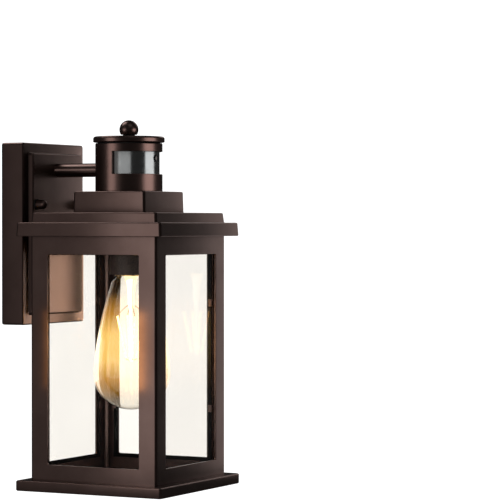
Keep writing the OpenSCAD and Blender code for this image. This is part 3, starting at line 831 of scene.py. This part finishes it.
place(arm_tube(), "lantern", "bronze_paint", "arm_tube")
for side in ("left", "right"):
    place(cap_nut(side), "cap_nut_" + side, "bronze_paint", "cap_nut_" + side)
place(sensor_drum(), "lantern", "bronze_paint", "sensor_housing")
place(sensor_lens(), "lantern", "smoked_lens", "sensor_lens")
place(sensor_lid(), "lantern", "bronze_paint", "sensor_lid")
place(finial(), "finial", "bronze_paint", "finial")
place(photocell_ring(), "lantern", "dark_plastic", "photocell_bezel")


# ---------------------------------------------------------------- socket and bulb


def socket_cup():
    radius = (CUP_HIGH.x - CUP_LOW.x) / 2
    inner = radius - 1.2 * MM
    low, top = CUP_LOW.z, CUP_HIGH.z
    bore = 5.05 * MM
    profile = [(bore, top - 1.2 * MM), (inner, top - 1.2 * MM), (inner, low + 0.2 * MM),
               (inner + 0.2 * MM, low)]
    profile += arc(radius - 0.4 * MM, low + 0.4 * MM, 0.4 * MM, -90, 0, 4)
    profile += arc(radius - 1.5 * MM, top - 1.5 * MM, 1.5 * MM, 0, 90, 6)
    profile += [(bore, top), (bore, top - 1.2 * MM)]
    return soften(lathe("socket_cup_turned", profile, SOCKET_AXIS, "z", 96))


def thread_radius(z, turn, low, root, crest, pitch):
    """Radius of a rounded screw thread at a height and a share of a turn."""
    phase = ((z - low) / pitch - turn) % 1.0
    return root + (crest - root) * (0.5 + 0.5 * math.cos(2 * math.pi * phase))


def screw_cap():
    """Rolled screw shell of the bulb, with a real helix."""
    low, top = CAP_THREAD_LOW.z, CAP_THREAD_HIGH.z
    crest = (CAP_THREAD_HIGH.x - CAP_THREAD_LOW.x) / 2
    root = crest - 0.9 * MM
    pitch = 3.63 * MM
    steps, rows = 72, 90
    bm = bmesh.new()
    rings = []
    for i in range(rows + 1):
        z = low + (top - low) * i / rows
        fade = min(1, (z - low) / (2 * MM), (top - z) / (2 * MM))
        ring = []
        for k in range(steps):
            a = 2 * math.pi * k / steps
            r = root + fade * (thread_radius(z, k / steps, low, root, crest, pitch) - root)
            ring.append(bm.verts.new((SOCKET_AXIS.x + r * math.cos(a), SOCKET_AXIS.y + r * math.sin(a), z)))
        rings.append(ring)
    for lower, upper in zip(rings, rings[1:]):
        for k in range(steps):
            j = (k + 1) % steps
            bm.faces.new((lower[k], lower[j], upper[j], upper[k]))
    bm.faces.new(rings[-1])
    bm.faces.new(rings[0][::-1])
    return finish_mesh("bulb_screw_cap", bm)


def glass_profile(inset):
    """Outline of the glass from the collar down to the tip."""
    points = [(NECK_R - 1.3 * MM, BULB_TOP + 10 * MM), (NECK_R - 1.3 * MM, BULB_TOP + 1.2 * MM),
              (NECK_R - 0.9 * MM, BULB_TOP + 0.4 * MM), (NECK_R - 0.2 * MM, BULB_TOP - 0.6 * MM),
              (NECK_R + 1.0 * MM, BULB_TOP - 2 * MM), (NECK_R + 2.6 * MM, BULB_TOP - 3.4 * MM)]
    flank_steps, end_steps = 40, 24
    for k in range(flank_steps + 1):
        t = k / flank_steps
        swell = 1 - (1 - t) ** 1.6
        points.append((SHOULDER_R + (BULB_R - SHOULDER_R) * swell, SHOULDER_Z + (WIDEST_Z - SHOULDER_Z) * t))
    for k in range(1, end_steps + 1):
        a = math.pi / 2 * k / end_steps
        points.append((BULB_R * math.cos(a), WIDEST_Z - (WIDEST_Z - BULB_TIP) * math.sin(a)))
    if not inset:
        return points
    tip_r = 4 * MM
    inside = []
    for r, z in points:
        rise = inset if r < tip_r else inset * 0.3 * (z < WIDEST_Z)
        inside.append((max(0, r - inset * min(1, r / tip_r)), z + rise))
    return inside


def bulb_glass():
    profile = glass_profile(0) + glass_profile(0.7 * MM)[::-1]
    return lathe("bulb_glass_shell", profile + profile[:1], SOCKET_AXIS, "z", 128)


def bulb_stem():
    """Flared glass foot, pinched press and the thin rod down the middle."""
    top = BULB_TOP
    profile = [(0, top + 6 * MM), (7 * MM, top + 6 * MM), (6.6 * MM, top + 2 * MM), (5 * MM, top - 3 * MM),
               (3.6 * MM, top - 9 * MM), (3.1 * MM, top - 18 * MM), (2.9 * MM, top - 24 * MM),
               (2.2 * MM, top - 27 * MM), (1.3 * MM, top - 31 * MM), (1.2 * MM, top - 60 * MM),
               (1.2 * MM, top - 69 * MM), (1.9 * MM, top - 71 * MM), (1.7 * MM, top - 72.5 * MM),
               (0, top - 73 * MM)]
    return lathe("bulb_stem_blown", profile, SOCKET_AXIS, "z", 40)


def filament_ends(index):
    """Upper and lower end of one strip."""
    a = math.radians(45 + 90 * index)
    out = Vector((math.cos(a), math.sin(a), 0))
    return (SOCKET_AXIS + out * FILAMENT_SPREAD + Vector((0, 0, FILAMENT_TOP)),
            SOCKET_AXIS + out * FILAMENT_CLOSE + Vector((0, 0, FILAMENT_LOW)))


def filaments():
    strips = []
    for index in range(4):
        high, low = filament_ends(index)
        strips.append(tube(f"strip_{index}", [high, high.lerp(low, 0.5), low], FILAMENT_R, 8))
    return join("filament_strips", strips)


def filament_leads():
    """Bent nickel wires from the press to the strips, and from the strips to the rod's foot."""
    wires = []
    wire_r = 0.3 * MM
    for index in range(4):
        high, low = filament_ends(index)
        out = high - SOCKET_AXIS
        out.z = 0
        out.normalize()
        press = SOCKET_AXIS + out * 2.4 * MM + Vector((0, 0, BULB_TOP - 25 * MM))
        elbow = SOCKET_AXIS + out * 7 * MM + Vector((0, 0, BULB_TOP - 27 * MM))
        foot = SOCKET_AXIS + out * 1.2 * MM + Vector((0, 0, FILAMENT_LOW - 1.5 * MM))
        weld = [high + out * 0.2 * MM, high - Vector((0, 0, MM))]
        wires.append(tube(f"upper_{index}", [press, elbow, *weld], wire_r))
        wires.append(tube(f"lower_{index}", [low, low + Vector((0, 0, -1.5 * MM)), foot], wire_r))
    return join("filament_wires", wires)


place(socket_cup(), "lantern", "bronze_paint", "socket_cup").data.materials[0] = MATERIALS["sand_paint"]
place(screw_cap(), "bulb", "brass_shell", "bulb_cap")
place(bulb_glass(), "bulb", "amber_glass", "bulb_glass")
place(bulb_stem(), "bulb", "stem_glass", "bulb_stem")
place(filaments(), "bulb", "glowing_filament", "filaments")
place(filament_leads(), "bulb", "nickel_wire", "filament_leads")


# ---------------------------------------------------------------- CAD nodes that stay, with finishes

slots = {entry["node"]: entry["material_slot"] for entry in frame["record"]["subparts"]}
for name, node in frame["nodes"].items():
    node.data.materials.clear()
    node.data.materials.append(MATERIALS[slots[name]])


# ---------------------------------------------------------------- stage, light and camera


# Direction of the camera's view, round from +X towards +Y
VIEW_TURN = math.radians(30)
FILL_STRENGTH = 0.03
WHITE_STRENGTH = 1.25
FLAG_ANGLE = math.radians(7)


def floor():
    mesh = bpy.data.meshes.new("floor")
    half, z = 2.0, cad_low[2] - 0.35
    corners = [(-half, -half, z), (half, -half, z), (half, half, z), (-half, half, z)]
    mesh.from_pydata(corners, [], [(0, 1, 2, 3)])
    piece = link("floor", mesh)
    s = Shader("floor").set(Roughness=0.9)
    s.colour(3, shades((0.85, 0.85, 0.84), 0.01))
    mesh.materials.append(s.material)


def surroundings():
    """White behind everything that the camera sees, and a dim even fill on the object.

    Two small black flags, in line with each other, keep the panes free of reflections.
    """
    world = bpy.data.worlds.new("studio")
    bpy.context.scene.world = world
    world.use_nodes = True
    nodes, links = world.node_tree.nodes, world.node_tree.links
    nodes.clear()
    output = nodes.new("ShaderNodeOutputWorld")
    fill = nodes.new("ShaderNodeBackground")
    fill.inputs["Color"].default_value = (1, 0.97, 0.95, 1)
    fill.inputs["Strength"].default_value = FILL_STRENGTH
    direction = nodes.new("ShaderNodeTexCoord").outputs["Generated"]
    flag = nodes.new("ShaderNodeVectorMath")
    flag.operation = "DOT_PRODUCT"
    flag.inputs[1].default_value = (math.cos(VIEW_TURN), -math.sin(VIEW_TURN), 0)
    links.new(direction, flag.inputs[0])
    either_way = nodes.new("ShaderNodeMath")
    either_way.operation = "ABSOLUTE"
    links.new(flag.outputs["Value"], either_way.inputs[0])
    clear_of_flags = nodes.new("ShaderNodeMath")
    clear_of_flags.operation = "LESS_THAN"
    clear_of_flags.inputs[1].default_value = math.cos(FLAG_ANGLE)
    links.new(either_way.outputs[0], clear_of_flags.inputs[0])
    white = nodes.new("ShaderNodeBackground")
    white.inputs["Color"].default_value = (1, 1, 1, 1)
    white.inputs["Strength"].default_value = WHITE_STRENGTH
    mix = nodes.new("ShaderNodeMixShader")
    path = nodes.new("ShaderNodeLightPath")
    seen = nodes.new("ShaderNodeMath")
    seen.operation = "MAXIMUM"
    through_glass = nodes.new("ShaderNodeMath")
    through_glass.operation = "MULTIPLY"
    links.new(path.outputs["Is Transmission Ray"], through_glass.inputs[0])
    links.new(clear_of_flags.outputs[0], through_glass.inputs[1])
    links.new(path.outputs["Is Camera Ray"], seen.inputs[0])
    links.new(through_glass.outputs[0], seen.inputs[1])
    links.new(seen.outputs[0], mix.inputs[0])
    links.new(fill.outputs[0], mix.inputs[1])
    links.new(white.outputs[0], mix.inputs[2])
    links.new(mix.outputs[0], output.inputs["Surface"])


def group(name, pieces, state="INCLUDE"):
    """The pieces that a lamp is limited to, or keeps off."""
    members = bpy.data.collections.new(name)
    for piece in pieces:
        members.objects.link(piece)
    for member in members.collection_objects:
        member.light_linking.link_state = state
    return members


def panel(name, centre, aim, width, tall, radiance, colour, lit, shaded_by=None):
    """A soft box that lights its group of pieces but isn't seen itself."""
    data = bpy.data.lights.new(name, "AREA")
    data.shape = "RECTANGLE"
    data.size, data.size_y = width, tall
    data.energy = radiance * math.pi * width * tall
    data.color = colour
    lamp = bpy.data.objects.new(name, data)
    lamp.location = Vector(centre)
    lamp.rotation_euler = (Vector(aim) - lamp.location).to_track_quat("-Z", "Y").to_euler()
    lamp.visible_camera = False
    lamp.visible_transmission = False
    lamp.light_linking.receiver_collection = lit
    lamp.light_linking.blocker_collection = shaded_by
    bpy.context.scene.collection.objects.link(lamp)


def mirrored(name, spot, normal, distance, width, low, high, radiance, colour, lit, shaded_by=None):
    """A panel that a flat face shows to the camera on one side of a spot, and not on the other."""
    view = Vector((math.cos(VIEW_TURN), math.sin(VIEW_TURN)))
    ray = view.reflect(Vector(normal))
    side = Vector((-ray.y, ray.x))
    centre = Vector(spot) + ray * distance + side * width / 2
    middle = (low + high) / 2
    aim = (*(centre - ray), middle)
    panel(name, (*centre, middle), aim, width, high - low, radiance, colour, lit, shaded_by)


def around(name, azimuth, distance, middle, width, tall, radiance, colour, lit):
    """A panel that faces the drum's axis from an azimuth in degrees."""
    a = math.radians(azimuth)
    centre = AXIS + Vector((math.cos(a), math.sin(a), 0)) * distance
    panel(name, (centre.x, centre.y, middle), (AXIS.x, AXIS.y, middle), width, tall, radiance, colour, lit)


def lights():
    """Near soft boxes, which shade each face from its dark side to its light side.

    The glow lamps stand in for the bulb's warm light on the backplate and on two posts.
    """
    pieces = [o for o in bpy.context.scene.objects if o.type == "MESH" and o.name != "floor"]

    def named(*starts):
        return group(starts[0], [o for o in pieces if o.name.startswith(starts)])

    lens = named("sensor_lens")
    drum = named("sensor_drum", "sensor_lid", "finial")
    cap = named("roof_cap")
    plate = named("backplate")
    arm = named("arm_")
    cage = named("cage_")
    cup = named("socket_cup")
    clear_names = ("glass_front", "glass_rear", "glass_left", "glass_right", "bulb_")
    clear = [o for o in pieces if o.name.startswith(clear_names)]
    others = [o for members in (lens, drum, cap, plate, arm) for o in members.objects]
    solid = group("solid", clear, "EXCLUDE")
    body = group("body", clear + others, "EXCLUDE")
    left, front = (-1, 0), (0, -1)
    half, cap_half = RAIL_HIGH.x, CAP_HIGH.x
    low, top = BASE_LOW.z, 60 * MM
    near = 0.14
    glow_low, glow_top = -0.155, -0.09
    pale, copper, white = (1, 0.93, 0.90), (1, 0.86, 0.82), (1, 1, 1)
    peach, amber = (1, 0.78, 0.60), (1, 0.50, 0.12)
    mirrored("cage_left", (-half, AXIS.y - 21 * MM), left, near, 0.13, low, top, 0.86, pale, body)
    mirrored("cage_front", (30 * MM, AXIS.y - half), front, near, 0.10, low, top, 0.68, pale, body)
    mirrored("cap_left", (-cap_half, AXIS.y - 9 * MM), left, near, 0.10, -top, top, 0.90, pale, cap)
    mirrored("cap_front", (12 * MM, AXIS.y - cap_half), front, near, 0.10, -top, top, 0.75, pale, cap)
    around("drum_left", 153, 0.165, 40 * MM, 0.075, 0.10, 1.4, copper, drum)
    around("drum_right", 277, 0.16, 40 * MM, 0.11, 0.10, 2.1, copper, drum)
    around("lens_left", 194, 0.165, 35 * MM, 0.13, 0.06, 0.70, white, lens)
    around("lens_right", 290, 0.16, 35 * MM, 0.12, 0.06, 1.7, white, lens)
    mirrored("arm_left", (-ARM_HIGH.x, 10 * MM), left, near, 0.12, 25 * MM, 80 * MM, 1.1, pale, arm, arm)
    mirrored("plate_right", (32 * MM, PLATE_LOW.y), front, near, 0.10, -0.01, 70 * MM, 1.2, pale, plate)
    mirrored("plate_glow", (-30 * MM, PLATE_LOW.y), front, near, 0.12, -0.12, -0.03, 3.6, peach, plate, plate)
    mirrored("post_glow", (-half, AXIS.y - 38 * MM), left, 25 * MM, 10 * MM, glow_low, glow_top, 3.5, amber,
             cage)
    panel("left_fill", (-0.55, 0.15, -0.05), (0, AXIS.y, -0.09), 0.5, 0.6, 0.18, pale, solid)
    panel("top_fill", (-0.3, -0.5, 0.7), (0, AXIS.y, -0.05), 0.5, 0.5, 0.25, white, solid)
    panel("left_edges", (0, 0.25, 0.50), (0, AXIS.y, 0), 0.3, 0.3, 2.5, pale, solid)
    panel("front_edges", (0.5, AXIS.y, 0.30), (0, AXIS.y, 0), 0.25, 0.25, 0.8, pale, solid)
    around("cup_left", 165, 0.10, -38 * MM, 0.025, 0.05, 6.0, pale, cup)
    mirrored("rear_glow", (-half, AXIS.y + 46 * MM), left, 25 * MM, 8 * MM, glow_low, glow_top, 1.2, amber,
             cage)


def camera():
    """Level with the roof, 60 degrees round from the front towards the left."""
    data = bpy.data.cameras.new("camera")
    data.sensor_width = 36
    data.lens = 173.877
    data.clip_start, data.clip_end = 0.1, 20
    eye = bpy.data.objects.new("camera", data)
    eye.location = (-1.7816, -1.1242, -0.0172)
    eye.rotation_euler = (math.radians(89.3985), 0, -1.0928)
    bpy.context.scene.collection.objects.link(eye)
    bpy.context.scene.camera = eye


floor()
surroundings()
lights()
camera()
bpy.context.scene.view_settings.view_transform = "Standard"
